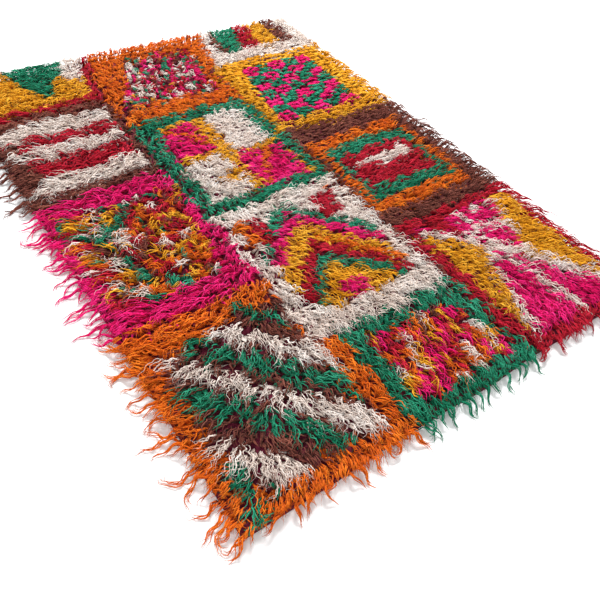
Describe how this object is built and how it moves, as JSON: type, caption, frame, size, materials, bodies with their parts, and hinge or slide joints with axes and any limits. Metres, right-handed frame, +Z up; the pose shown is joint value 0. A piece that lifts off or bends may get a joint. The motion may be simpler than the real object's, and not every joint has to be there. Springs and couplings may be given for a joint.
{
  "type": "tulu rug",
  "caption": "Long-piled hand-knotted wool rug, flat, with a patchwork of bordered colour panels and pile locks that lie out over its edges.",
  "frame": {"origin": "middle of the bounding box in X and Y, on the underside, where the rug meets the floor", "axes": "+Z up out of the pile, +Y along the rug's length towards its far end, +X across its width to the right"},
  "size_m": [1.6178, 2.1266, 0.0627],
  "materials": {
    "orange_wool": "matt hand-spun wool, dyed orange",
    "pink_wool": "matt hand-spun wool, dyed bright pink",
    "yellow_wool": "matt hand-spun wool, dyed golden yellow",
    "green_wool": "matt hand-spun wool, dyed blue-green",
    "ivory_wool": "matt undyed hand-spun wool",
    "brown_wool": "matt hand-spun wool, dark brown",
    "red_wool": "matt hand-spun wool, dyed dark red",
    "ground_wool": "plain-woven burgundy wool ground"
  },
  "bodies": {
    "root": {"tulu_rug": "orange_wool"}
  },
  "joints": []
}
